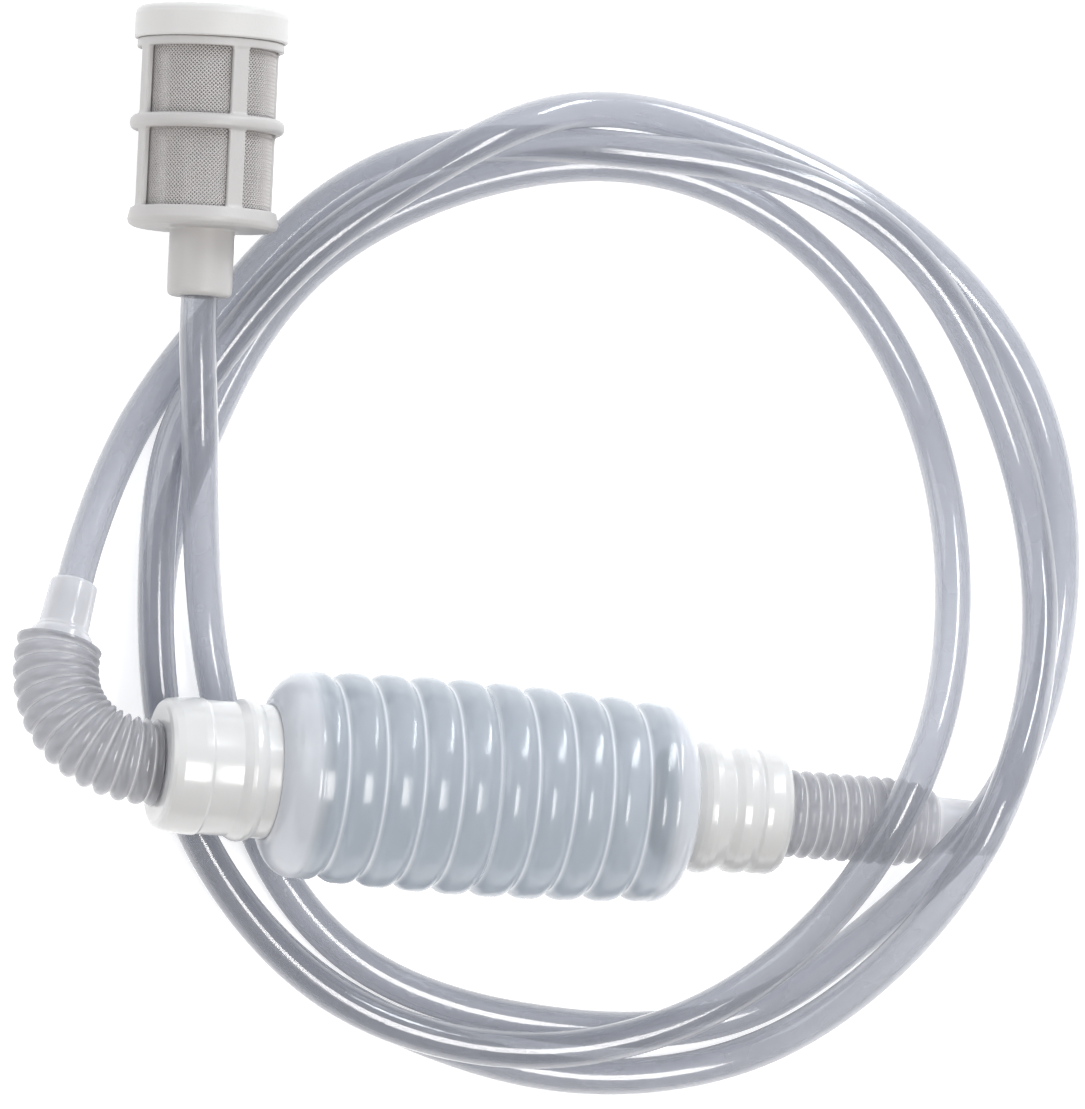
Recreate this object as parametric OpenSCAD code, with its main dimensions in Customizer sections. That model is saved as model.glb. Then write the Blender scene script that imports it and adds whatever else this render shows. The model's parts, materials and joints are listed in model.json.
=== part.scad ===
// Hand-pumped siphon for aquariums: a coiled clear hose with a mesh strainer
// on one end and a bellows pump with two check valves on the other.
// The set lies flat on a table, +Z up. The origin is on the table, under the
// middle of the whole set. The pump lies along X, dipping a little towards
// its outlet, and water runs through it towards +X.

/* [Hose] */
// Outside diameter of the clear hose
hose_od = 10; // [9:0.1:10]
// Bore of the clear hose
hose_id = 8; // [6:0.1:8]
// Length of hose pushed into the strainer's socket
hose_in_socket = 15.5; // [10:0.5:15.5]
// Length of hose pushed into the elbow's cuff
hose_in_cuff = 14; // [8:0.5:14]

/* [Coil] */
// Mean radius of the three turns
coil_r = 122; // [121.5:0.1:122.5]
// Middle of the coil along X
coil_x = 9.9; // [9.7:0.1:10.1]
// Middle of the coil along Y
coil_y = -6.5; // [-7:0.1:-6]
// Width of the coil against its depth: it lies as a slight oval
coil_oval = 0.954; // [0.953:0.001:0.956]
// How far the hose sets over towards +X for each mm that it climbs
coil_lean = 0.17; // [0.16:0.01:0.18]

/* [Pump] */
// Height of the bellows' middle above the table
pump_z = 32.6; // [32.5:0.1:35]
// How far the pump's axis dips towards the outlet, in degrees
pump_dip = 5; // [4.5:0.1:5.5]
// Number of ribs on the bellows
ribs = 10; // [8:1:10]
// Length of the couplings and valves along the pump, 1 for the long pattern
pump_reach = 0.938; // [0.935:0.001:0.95]
// Distance from one rib to the next
rib_pitch = 10.55; // [9.5:0.05:10.55]
// Largest rib radius, near the middle
rib_r = 29.1; // [26:0.1:29.1]
// Depth of the grooves between ribs
rib_depth = 2.8; // [1.5:0.1:3.5]
// Wall of the bellows
bellows_wall = 1; // [0.8:0.1:1.4]

/* [Valves] */
// Radius of each valve ball
ball_r = 6; // [5.9:0.05:6]
// How far a ball lifts off its seat
ball_lift = 3.5; // [2:0.1:3.5]
// Radius of the water hole in each seat
port_r = 4.5; // [4:0.1:4.5]

/* [Corrugated hoses] */
// Convolutions on the curved inlet hose
inlet_waves = 13; // [10:1:14]
// Convolutions on the straight outlet hose
outlet_waves = 11; // [9:1:12]
// Crest radius of the inlet hose
inlet_wave_r = 11.7; // [10.5:0.1:11.7]
// Crest radius of the outlet hose
outlet_wave_r = 11.9; // [10.5:0.1:11.9]
// Bore of the outlet cuff, which takes a hose of 10 mm
cuff_bore_r = 5; // [4.5:0.1:5.2]
// Depth of the outlet cuff's bore
cuff_bore_l = 14; // [10:0.5:15]

/* [Strainer] */
// Outside radius of the cage
cage_r = 19.8; // [19:0.1:19.8]
// Outside radius of the cap
cap_r = 20.75; // [20.2:0.05:20.75]
// Length from the socket's mouth to the cap's face
strainer_l = 78; // [77:0.5:79]
// Radius of the hose socket
socket_r = 8.8; // [8:0.1:9.5]
// Radius of the mesh sleeve
mesh_r = 17.8; // [16:0.1:17.8]

/* [Hidden] */
$fn = 64;

clear_vinyl = [0.80, 0.84, 0.90, 0.55];
flex_grey = [0.72, 0.73, 0.76, 0.7];
bellows_tint = [0.78, 0.81, 0.88, 0.65];
coupling_white = [0.93, 0.93, 0.91];
valve_white = [0.95, 0.95, 0.94];
ball_grey = [0.85, 0.86, 0.87];
seal_dark = [0.30, 0.31, 0.33];
strainer_cream = [0.90, 0.90, 0.87];
mesh_grey = [0.70, 0.70, 0.67, 0.9];

// ---- placing -------------------------------------------------------------

function direction(turn, rise) = [cos(turn) * cos(rise), sin(turn) * cos(rise), sin(rise)];

pump_pos = [-18.4, -62.5, pump_z];
pump_axis = direction(0, -pump_dip);

strainer_mouth = [-103.7, 63.3, 26.3];
strainer_turn = 91.35;
strainer_dip = 4;
strainer_axis = direction(strainer_turn, -strainer_dip);

// Mouth of the inlet elbow's cuff, its axis pointing into the cuff
cuff_mouth = [-130.4, -16.2, 22];
cuff_axis = direction(258, 17);

// Local Z runs along the pump from inlet to outlet, 0 at the bellows' middle.
module on_pump() translate(pump_pos) rotate([0, 90 + pump_dip, 0]) children();
// Local Z runs from the socket's mouth out to the cap.
module on_strainer() translate(strainer_mouth) rotate([0, 0, strainer_turn])
    rotate([0, 90 + strainer_dip, 0]) children();

// ---- helpers -------------------------------------------------------------

function flip(list) = [for (i = [len(list) - 1:-1:0]) list[i]];
function unit(v) = v / norm(v);
function tangent(path, i) = unit(path[min(i + 1, len(path) - 1)] - path[max(i - 1, 0)]);
function ring(centre, axis, radius, sides) =
    let (across = unit([axis.y, -axis.x, 0]), up = cross(axis, across))
    [for (j = [0:sides - 1])
        let (angle = 360 * j / sides)
        centre + radius * (cos(angle) * across + sin(angle) * up)];

// A pipe through stations of [point, outer radius, inner radius].
module pipe(stations, sides) {
    path = [for (station = stations) station[0]];
    last = len(path) - 1;
    // all the outer rings, then all the inner ones
    points = [for (column = [1, 2], i = [0:last])
        each ring(path[i], tangent(path, i), stations[i][column], sides)];
    inner = len(path) * sides;
    walls = [for (i = [0:last - 1], j = [0:sides - 1])
        let (a = i * sides + j, b = i * sides + (j + 1) % sides)
        each [[a, a + sides, b + sides], [a, b + sides, b],
              [inner + a, inner + b + sides, inner + a + sides],
              [inner + a, inner + b, inner + b + sides]]];
    ends = [for (j = [0:sides - 1])
        let (a = j, b = (j + 1) % sides, c = last * sides + a, d = last * sides + b)
        each [[a, b, inner + b], [a, inner + b, inner + a],
              [c, inner + d, d], [c, inner + c, inner + d]]];
    polyhedron(points, concat(walls, ends));
}

// A straight tube along local Z.
module tube(start, end, outer, bore) difference() {
    translate([0, 0, start]) cylinder(h = end - start, r = outer);
    translate([0, 0, start - 1]) cylinder(h = end - start + 2, r = bore);
}

// Uniform cubic B-spline through the control points p
function spline_at(a, b, c, d, t) =
    (pow(1 - t, 3) * a + (3 * pow(t, 3) - 6 * t * t + 4) * b
     + (-3 * pow(t, 3) + 3 * t * t + 3 * t + 1) * c + pow(t, 3) * d) / 6;
// Bends that climb over something are cut finer than those near the table.
climb_z = 17;
function pieces(p, i) = max([for (j = [i - 1:i + 2]) p[j].z]) > climb_z ? 4 : 2;
function spline(p) = concat(
    [for (i = [1:len(p) - 3])
        let (n = pieces(p, i))
        for (k = [0:n - 1]) spline_at(p[i - 1], p[i], p[i + 1], p[i + 2], k / n)],
    [(p[len(p) - 3] + 4 * p[len(p) - 2] + p[len(p) - 1]) / 6]);

// ---- hose routing --------------------------------------------------------
// The hose leaves the strainer, makes three turns and ends in the elbow's
// cuff. Three turns share one bundle about two hoses wide: two lie on the
// table and the third rides in the groove on top.
// Columns: how far the hose lies outside the mean radius, height of its middle.
// Stations follow each other at station_step, counter-clockwise from above.

station_step = 15;
first_station = 165;

// down from the strainer, inner lane, over the outlet cuff,
// outer lane on the +X side, then over the third turn on the +Y side
turn_1 = [
    [1, 26.5], [-11, 12], [-14.6, 5], [-12.8, 5], [-6.2, 5], [-2.4, 5],
    [-3.8, 5], [-4.5, 5], [-0.5, 5], [4, 5], [-1.5, 18.8], [-3, 40.8],
    [3, 34.5], [13, 13], [18, 5], [18, 5], [13.5, 5], [9, 5],
    [6.2, 5], [8, 9.5], [8, 27.5], [0.5, 20], [0.3, 14]];
// on top of the bundle under the inlet neck, then over the outlet
// hose to the innermost lane
turn_2 = [
    [1.5, 15], [6, 12.3], [3.2, 15.5], [4.6, 15.5], [9.2, 15.5], [10, 15.5],
    [10.7, 15.5], [6.8, 15.7], [3, 14.8], [-1.7, 16.5], [-7.5, 21], [-17, 34.6],
    [-25, 44.3], [-25, 37.5], [-21, 21], [-16.5, 9.5], [-13.5, 5], [-11.2, 5],
    [-8.5, 5], [-6.7, 5], [-6.5, 5], [-7.8, 5], [-7.2, 5], [-4.8, 5]];
// under turn 2 on the -X side, outermost lane on the -Y side, over the
// first turn and the cuff, then out to the elbow
turn_3 = [
    [-5.4, 5], [-6.4, 5], [-0.2, 5], [1, 5], [6.3, 5], [7.3, 5],
    [8.2, 5], [6.5, 5], [9.2, 5], [11.8, 5], [14, 8], [6.5, 31],
    [-2.5, 52], [-4, 48.5], [4.5, 22], [6, 12], [4.5, 12.5], [6.5, 15],
    [5, 15.7], [-0.5, 15.2], [-4.4, 16.2], [0.8, 12], [6, 5], [6, 5],
    [5.8, 5], [14.5, 6]];
coil_stations = concat(turn_1, turn_2, turn_3);

// A spline through points on a circle runs a little inside them.
pull_in = (4 + 2 * cos(station_step)) / 6;
coil_points = [for (i = [0:len(coil_stations) - 1])
    let (angle = first_station + i * station_step,
         r = (coil_r + coil_stations[i][0]) / pull_in,
         z = coil_stations[i][1])
    [coil_x + coil_oval * r * cos(angle) + coil_lean * z, coil_y + r * sin(angle), z]];

// Control points this far either side of a mouth bring the hose in straight.
lead = 12;
hose_points = concat(
    [for (s = [lead, 0, -lead]) strainer_mouth + s * strainer_axis],
    coil_points,
    [for (s = [-lead, 0, lead]) cuff_mouth + s * cuff_axis]);
hose_path = concat([strainer_mouth + hose_in_socket * strainer_axis],
                   spline(hose_points),
                   [cuff_mouth + hose_in_cuff * cuff_axis]);

module inlet_tube() color(clear_vinyl)
    pipe([for (p = hose_path) [p, hose_od / 2, hose_id / 2]], sides = 12);

// ---- couplings -----------------------------------------------------------

// Distances along the pump are given for the long pattern and then fitted.
function fit(s) = s * pump_reach;
function fit_all(profile) = [for (p = profile) [p[0], fit(p[1])]];

// Long pattern: outer ends of the couplings, and inner ends of the sleeves
// in them that hold the corrugated hoses
inlet_end = -94.7;
inlet_sleeve = -83.2;
outlet_sleeve = 81;
outlet_end = 91.2;
sleeve_r = 9.05;
sleeve_outer_r = 11.2;

// Each coupling's neck runs on inside the bellows, past a bead that its lip snaps over.
neck_r = 14.2;
bore_r = neck_r + 0.05;

// Columns: radius, distance along the pump in the long pattern
inlet_coupling_profile = [
    [bore_r, -62.5], [16.6, -60.5], [16.6, -46.5], [17.6, -46.5], [18, -47.2], [18, -59.2],
    [18.35, -59.6], [18.35, -60.1], [18, -60.5], [18, -62.25],
    [18.1, -62.8], [18.1, -66.3], [18.7, -67.4], [19.2, -68.7],
    [19.35, -70], [19.2, -71.2], [18.7, -72.4], [18.1, -73.6], [18.1, -82.2],
    [18.5, -82.9], [18.5, -85], [18.1, -91], [17.7, -93.2], [16.9, -94.3], [15.6, inlet_end],
    [sleeve_r, inlet_end], [sleeve_r, inlet_sleeve],
    [sleeve_outer_r, inlet_sleeve], [sleeve_outer_r, -92], [bore_r, -92]];
outlet_coupling_profile = [
    [bore_r, 55.5], [15.6, 55.5], [16, 56.2], [16, 59.2], [16.35, 59.6], [16.35, 60.1],
    [16, 60.5], [16, 62.25], [16.3, 62.8], [17.1, 64], [17.8, 65.6], [18.1, 67.3],
    [17.8, 69.1], [17.1, 70.8], [16.4, 72.3], [16.2, 73.2], [16.5, 74.2], [17.1, 75.6],
    [17.4, 77.6], [17.1, 79.6], [16.5, 80.9], [16.3, 81.6], [16.9, 82.4], [17.05, 84],
    [16.95, 87.4], [16.4, 89], [15.4, 90.3], [13.8, outlet_end],
    [sleeve_r, outlet_end], [sleeve_r, outlet_sleeve],
    [sleeve_outer_r, outlet_sleeve], [sleeve_outer_r, 88.7], [bore_r, 88.7]];

module inlet_coupling() color(coupling_white) on_pump()
    rotate_extrude() polygon(fit_all(inlet_coupling_profile));
module outlet_coupling() color(coupling_white) on_pump()
    rotate_extrude() polygon(fit_all(outlet_coupling_profile));

// ---- curved corrugated hose ----------------------------------------------

// shared by both corrugated hoses
cuff_l = 18;
flex_wall = 0.9;
// the plain stub pushed into a coupling's sleeve
stub_l = 8;
stub_r = 8.95;

// The bend is a Bezier curve from the cuff's inner end to just short of the coupling.
elbow_gap = 0.75;
elbow_start = cuff_mouth + cuff_l * cuff_axis;
elbow_end = pump_pos + (fit(inlet_end) - elbow_gap) * pump_axis;
start_handle = elbow_start + 18 * cuff_axis;
end_handle = elbow_end - 20.6 * pump_axis;
function elbow(t) = pow(1 - t, 3) * elbow_start
    + 3 * pow(1 - t, 2) * t * start_handle
    + 3 * (1 - t) * t * t * end_handle + pow(t, 3) * elbow_end;

// Table from length along the bend to t, so that the waves come out even
steps = 60;
function run(i) = i == 0 ? 0 : run(i - 1) + norm(elbow(i / steps) - elbow((i - 1) / steps));
t_by_length = [for (i = [0:steps]) [run(i), i / steps]];
elbow_l = run(steps);

// Columns: distance from the cuff's mouth, outer radius, inner radius
cuff_rings = [[0, 6.1, 5.3], [0.7, 6.5, 5.13], [13.2, 6.9, 5.13], [14.1, 7.4, 5.13],
              [14.4, 7.4, 4.3], [15, 8.4, 4.3], [15.6, 8.6, 7.4], [17.6, 8.8, 7.8]];
// Radius against the crest at each quarter of a wave
wave_shape = [-1.9, -0.35, 0, -0.35];
elbow_rings = inlet_waves * len(wave_shape);
elbow_stations = concat(
    [for (c = cuff_rings) [cuff_mouth + c[0] * cuff_axis, c[1], c[2]]],
    [for (i = [0:elbow_rings])
        let (r = inlet_wave_r + wave_shape[i % len(wave_shape)])
        [elbow(lookup(i / elbow_rings * elbow_l, t_by_length)), r, r - flex_wall]],
    [for (s = [0.6, elbow_gap + stub_l])
        [elbow_end + s * pump_axis, stub_r, stub_r - flex_wall]]);

module inlet_flex_hose() color(flex_grey) pipe(elbow_stations, sides = 16);

// ---- straight corrugated hose --------------------------------------------

neck_out = fit(outlet_end);
stub_end = neck_out - stub_l;
cuff_start = 129;
cuff_end = cuff_start + cuff_l;
cuff_floor = cuff_end - cuff_bore_l;
cuff_passage_r = 4.2;
waves_start = neck_out + 0.6;
waves_end = cuff_start - 1;
wave_l = (waves_end - waves_start) / outlet_waves;

// the last two convolutions run down towards the cuff
function wave_top(i) = outlet_wave_r - (i >= outlet_waves - 1 ? 2.2
                                      : i >= outlet_waves - 2 ? 0.8 : 0);
// Columns: fraction of a wave's length, radius against the crest
outlet_wave_shape = [[0, -1.6], [0.22, -0.35], [0.5, 0], [0.78, -0.35]];
wave_outer = [for (i = [0:outlet_waves - 1], k = outlet_wave_shape)
    [wave_top(i) + k[1], waves_start + (i + k[0]) * wave_l]];
wave_inner = [for (p = wave_outer) [p[0] - flex_wall, p[1]]];

module outlet_flex_hose() color(flex_grey) on_pump()
    rotate_extrude() polygon(concat(
        [[stub_r, stub_end], [stub_r, neck_out + 0.1]],
        wave_outer,
        [[8.2, cuff_start - 0.6], [7.7, cuff_start + 0.2], [7.2, cuff_end - 0.5],
         [6.7, cuff_end], [cuff_bore_r, cuff_end], [cuff_bore_r, cuff_floor],
         [cuff_passage_r, cuff_floor], [cuff_passage_r, cuff_start + 2.8],
         [7, cuff_start - 0.4]],
        flip(wave_inner),
        [[stub_r - flex_wall, neck_out + 0.1], [stub_r - flex_wall, stub_end]]));

// ---- bellows -------------------------------------------------------------

last_rib = rib_pitch * (ribs - 1) / 2;
first_rib = -last_rib;
// the ribs are fullest a little to the inlet side of the middle
function crown(s) = rib_r - 0.0007 * pow(s + 7.5, 2);
// phase runs from -0.5 to 0.5 over one rib: a round crest, a narrow groove
function rib_at(s, phase) = crown(s) - rib_depth * pow(2 * abs(phase), 2.6);
rib_overrun = 0.2 * rib_pitch;
rib_curve = [for (i = [0:ribs - 1], phase = [-0.5, -0.4, -0.27, -0.1, 0.1, 0.27, 0.4])
    let (s = first_rib + (i + phase) * rib_pitch)
    if (s > first_rib - rib_overrun && s < last_rib + rib_overrun) [rib_at(s, phase), s]];

// quarter-round shoulders run from the end ribs down to the necks
function shoulder(rib, s_rib, foot_r, s_foot) =
    let (top_r = crown(rib) - 0.1)
    [for (a = [0, 22, 42, 60, 76])
        [foot_r + (top_r - foot_r) * cos(a), s_rib + (s_foot - s_rib) * sin(a)]];
foot_out = fit(66) - 3.8;
foot_in = -foot_out;
side_in = flip(shoulder(first_rib, first_rib - 2.25, 16.5, foot_in));
side_out = shoulder(last_rib, last_rib + 2.25, 15, foot_out);

// the shoulders end in lips that grip the couplings' necks
lip_in_r = 18.05;
lip_out_r = 16.05;
lip_wall = 0.85;
lip_front = 0.2;
lip_back = 1.1;
// a shoulder's inner face; inward is +1 or -1, towards the bellows' middle
function lining(side, inward) = [for (p = side)
    [p[0] - bellows_wall * 0.8, p[1] + inward * bellows_wall * 0.9]];
outside = concat(
    [[lip_in_r, foot_in - lip_front], [lip_in_r + lip_wall, foot_in - lip_front]],
    side_in, rib_curve, side_out,
    [[lip_out_r + lip_wall, foot_out + lip_front], [lip_out_r, foot_out + lip_front]]);
inside = concat(
    [[lip_in_r, foot_in + lip_back]],
    lining(side_in, 1),
    [for (p = rib_curve) [p[0] - bellows_wall, p[1]]],
    lining(side_out, -1),
    [[lip_out_r, foot_out - lip_back]]);

module bellows() color(bellows_tint) on_pump()
    rotate_extrude($fn = 96) polygon(concat(outside, flip(inside)));

// ---- check valves: both pass water towards the outlet ----------------------

barrel_r = neck_r - 1.05;
barrel_bore = barrel_r - 1.5;
disc_r = neck_r - 0.05;
seat_in = fit(-82);
seat_out = fit(60);
barrel_end = fit(79.8);

// The rest is measured from the seat's face on the inlet side.
seat_h = 3.5;
cone_z = 1.5;
cone_h = 2.001;
ball_gap = 0.03;
post_z = 3.52;
post_top = 12 + ball_lift;
stop_z = 11.57 + ball_lift;

// a disc with the water hole, opening in a cone that the ball sits in
module seat_disc(seat) difference() {
    translate([0, 0, seat]) cylinder(h = seat_h, r = disc_r);
    translate([0, 0, seat - 1]) cylinder(h = 6, r = port_r);
    translate([0, 0, seat + cone_z]) cylinder(h = cone_h, r1 = port_r, r2 = port_r + cone_h);
}
// the ball rests just off the edge of the water hole
module valve_ball(seat)
    translate([0, 0, seat + cone_z + ball_gap + sqrt(ball_r * ball_r - port_r * port_r)])
        sphere(r = ball_r);
// three posts that guide the ball and a drilled disc that stops it
module ball_cage(seat) difference() {
    union() {
        translate([0, 0, seat + stop_z]) cylinder(h = 2.4, r = barrel_bore - 0.05);
        for (a = [30, 150, 270]) rotate([0, 0, a])
            translate([ball_r + 0.6, -0.8, seat + post_z]) cube([2.2, 1.6, post_top - post_z]);
    }
    for (a = [0:60:300]) rotate([0, 0, a])
        translate([8.6, 0, seat + 11 + ball_lift]) cylinder(h = 4, r = 2.1);
}
// seat and barrel in one, with a flange that centres its far end in the coupling
module valve_body(seat, end, flange) union() {
    seat_disc(seat);
    tube(seat + 2, end, barrel_r, barrel_bore);
    difference() {
        translate([0, 0, flange]) cylinder(h = 1.5, r = disc_r);
        translate([0, 0, flange - 1]) cylinder(h = 4, r = barrel_bore);
    }
}

module inlet_valve_seat() color(valve_white) on_pump()
    valve_body(seat_in, end = fit(-62), flange = fit(-65));
module inlet_valve_ball() color(ball_grey) on_pump() valve_ball(seat_in);
module inlet_ball_cage() color(valve_white) on_pump() ball_cage(seat_in);

module outlet_valve_seat() color(valve_white) on_pump()
    valve_body(seat_out, end = barrel_end, flange = fit(77.6));
module outlet_valve_ball() color(ball_grey) on_pump() valve_ball(seat_out);
module outlet_ball_cage() color(valve_white) on_pump() ball_cage(seat_out);

// flat rings between each valve and its coupling's sleeve
module flat_seal(start, end) tube(start, end, neck_r - 0.1, 9.6);
module inlet_seal() color(seal_dark) on_pump() flat_seal(fit(inlet_sleeve), seat_in);
module outlet_seal() color(seal_dark) on_pump() flat_seal(barrel_end, fit(outlet_sleeve));

// ---- strainer ------------------------------------------------------------
// Heights run from the socket's mouth.

cage_bore_r = 18;
floor_z = 18.2;
floor_top = 23.3;
rib_turn = 16.5;
rib_w = 4.6;
rib_foot = floor_top - 1.5;
rib_top = 67.5;
hoop_z = 46.2;
hoop_h = 4;
hoop_bead = 1.1;
top_ring_z = 66.4;
spigot_r = 18.8;
mesh_foot = floor_z + 2.5;
mesh_top = 74.2;
cap_rim_z = 68.9;
cap_step_z = 74.7;
cap_inner_r = 16.9;
cap_face = 1.8;

module cage_socket() rotate_extrude() polygon([
    [0, 0], [socket_r - 1, 0], [socket_r - 0.3, 0.5],
    [socket_r, 1.4], [socket_r, floor_z + 1], [0, floor_z + 1]]);

// floor with its rounded rim
module cage_floor() rotate_extrude() polygon([
    [0, floor_z], [cage_r - 1, floor_z], [cage_r + 0.2, floor_z + 0.7],
    [cage_r + 0.6, floor_z + 1.9], [cage_r + 0.3, floor_z + 3.2], [cage_r - 0.1, floor_top],
    [cage_bore_r, floor_top], [cage_bore_r, floor_z + 2.4], [0, floor_z + 2.4]]);

module cage_ribs() for (a = [0:90:270]) rotate([0, 0, a + rib_turn]) intersection() {
    translate([cage_bore_r - 0.05, -rib_w / 2, rib_foot])
        cube([cage_r - 17, rib_w, rib_top - rib_foot]);
    cylinder(h = 80, r = cage_r - 0.25);
}

// beaded hoop half way up the ribs
module cage_hoop() translate([0, 0, hoop_z]) rotate_extrude() polygon([
    [cage_bore_r, -hoop_h / 2], [cage_r, -hoop_h / 2],
    [cage_r + hoop_bead * 0.8, -hoop_h * 0.3], [cage_r + hoop_bead, 0],
    [cage_r + hoop_bead * 0.8, hoop_h * 0.3],
    [cage_r, hoop_h / 2], [cage_bore_r, hoop_h / 2]]);

// top ring with the spigot that the cap pushes onto
module cage_top_ring() difference() {
    union() {
        translate([0, 0, top_ring_z]) cylinder(h = 2.4, r = cage_r);
        translate([0, 0, top_ring_z]) cylinder(h = 8.2, r = spigot_r);
    }
    translate([0, 0, 60]) cylinder(h = 20, r = cage_bore_r);
}

module strainer_cage() color(strainer_cream) on_strainer() difference() {
    union() {
        cage_socket();
        cage_floor();
        cage_ribs();
        cage_hoop();
        cage_top_ring();
    }
    // hose socket, then the water passage
    translate([0, 0, -1]) cylinder(h = 17, r = hose_od / 2 + 0.05);
    translate([0, 0, 10]) cylinder(h = 20, r = 4);
}

module strainer_cap() color(strainer_cream) on_strainer() rotate_extrude() polygon([
    [0, strainer_l], [cap_r - 3, strainer_l], [cap_r - 1.3, strainer_l - 0.4],
    [cap_r - 0.4, strainer_l - 1.2], [cap_r, strainer_l - 2.6], [cap_r, cap_rim_z + 0.4],
    [cap_r - 0.4, cap_rim_z], [spigot_r + 0.05, cap_rim_z],
    [spigot_r + 0.05, cap_step_z], [cap_inner_r, cap_step_z],
    [cap_inner_r, strainer_l - cap_face], [0, strainer_l - cap_face]]);

// sleeve closed at the cap's end
module strainer_mesh() color(mesh_grey) on_strainer() difference() {
    translate([0, 0, mesh_foot]) cylinder(h = mesh_top - mesh_foot, r = mesh_r);
    translate([0, 0, mesh_foot - 1.5])
        cylinder(h = mesh_top - 0.6 - (mesh_foot - 1.5), r = mesh_r - 0.5);
}

strainer_cap();
strainer_cage();
strainer_mesh();
inlet_tube();
inlet_flex_hose();
inlet_coupling();
inlet_seal();
inlet_valve_seat();
inlet_valve_ball();
inlet_ball_cage();
bellows();
outlet_valve_seat();
outlet_valve_ball();
outlet_ball_cage();
outlet_seal();
outlet_coupling();
outlet_flex_hose();
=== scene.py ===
"""Looks of the hand-pumped siphon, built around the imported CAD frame.

The siphon lies on the floor, +Z up. A long clear hose runs from the strainer in loops
to a cuff, and a corrugated elbow joins the cuff to the pump. The pump is a ribbed
bellows between two couplings, with a corrugated outlet hose at its far end.
Lengths are in millimetres until make_object turns them into metres. Stations along the
pump are measured from its middle, positive towards the outlet.
"""
import json
import math

import bpy
import numpy as np
from mathutils import Matrix, Vector


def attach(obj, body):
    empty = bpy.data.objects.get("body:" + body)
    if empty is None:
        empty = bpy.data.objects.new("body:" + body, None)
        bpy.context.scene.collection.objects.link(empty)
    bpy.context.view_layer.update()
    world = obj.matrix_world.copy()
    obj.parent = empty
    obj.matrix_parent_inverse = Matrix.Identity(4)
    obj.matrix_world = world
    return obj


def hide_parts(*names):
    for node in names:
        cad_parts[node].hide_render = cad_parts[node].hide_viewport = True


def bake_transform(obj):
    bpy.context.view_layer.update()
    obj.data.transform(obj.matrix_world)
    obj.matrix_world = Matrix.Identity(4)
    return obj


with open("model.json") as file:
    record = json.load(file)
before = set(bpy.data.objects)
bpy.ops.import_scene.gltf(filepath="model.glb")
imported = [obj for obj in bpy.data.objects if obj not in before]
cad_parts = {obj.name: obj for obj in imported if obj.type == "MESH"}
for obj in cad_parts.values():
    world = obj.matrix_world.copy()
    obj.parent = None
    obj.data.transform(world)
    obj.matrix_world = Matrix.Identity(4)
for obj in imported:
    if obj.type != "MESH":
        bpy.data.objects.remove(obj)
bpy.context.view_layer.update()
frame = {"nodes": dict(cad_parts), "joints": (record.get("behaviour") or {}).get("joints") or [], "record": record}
MM = 0.001
joints = {j["name"]: j for j in frame["joints"]}
mounts = {m["name"]: m for m in frame["record"]["mounts"]}
scene = bpy.context.scene


def unit(v):
    v = np.asarray(v, float)
    return v / np.linalg.norm(v)


def turn_about_z(degrees):
    c, s = math.cos(math.radians(degrees)), math.sin(math.radians(degrees))
    return np.array([[c, -s, 0], [s, c, 0], [0, 0, 1]])


def turn_about_y(degrees):
    c, s = math.cos(math.radians(degrees)), math.sin(math.radians(degrees))
    return np.array([[c, 0, s], [0, 1, 0], [-s, 0, c]])


# ---- places ----------------------------------------------------------------
OUTLET_END = 147.0              # station of the outlet hose's open end
PUMP_AXIS = unit(joints["inlet_squeeze"]["axis"])
PUMP = np.array(mounts["outlet_cuff_bore"]["pos_m"]) * 1000 - OUTLET_END * PUMP_AXIS
PUMP_SIDE = unit(np.cross(PUMP_AXIS, [0.0, 1.0, 0.0] if abs(PUMP_AXIS[1]) < 0.9 else [1.0, 0.0, 0.0]))
PUMP_AXES = (PUMP_SIDE, np.cross(PUMP_AXIS, PUMP_SIDE), PUMP_AXIS)

STRAINER_AXIS = unit(joints["strainer_twist"]["axis"])
STRAINER = np.array(joints["strainer_twist"]["pos_m"]) * 1000
STRAINER_TURN = turn_about_z(91.35) @ turn_about_y(94)      # as the CAD turns it

CUFF = np.array([-130.4, -16.2, 22.0])                      # mouth of the elbow's cuff
CUFF_HEADING, CUFF_RISE = math.radians(258), math.radians(17)
CUFF_AXIS = np.array([math.cos(CUFF_HEADING) * math.cos(CUFF_RISE),
                      math.sin(CUFF_HEADING) * math.cos(CUFF_RISE), math.sin(CUFF_RISE)])

# ---- sizes shared by several pieces ----------------------------------------
REACH = 0.938                   # length of the couplings against their long pattern
INLET_NECK_END = 94.7           # end of each coupling, in the long pattern
OUTLET_NECK_END = 91.2
FLEX_WALL = 0.9                 # wall of the corrugated hoses
SLEEVE_R, SLEEVE_BORE = 8.95, 8.05      # plain hose end inside a coupling


def on_pump(station):
    return PUMP + station * PUMP_AXIS


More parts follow.
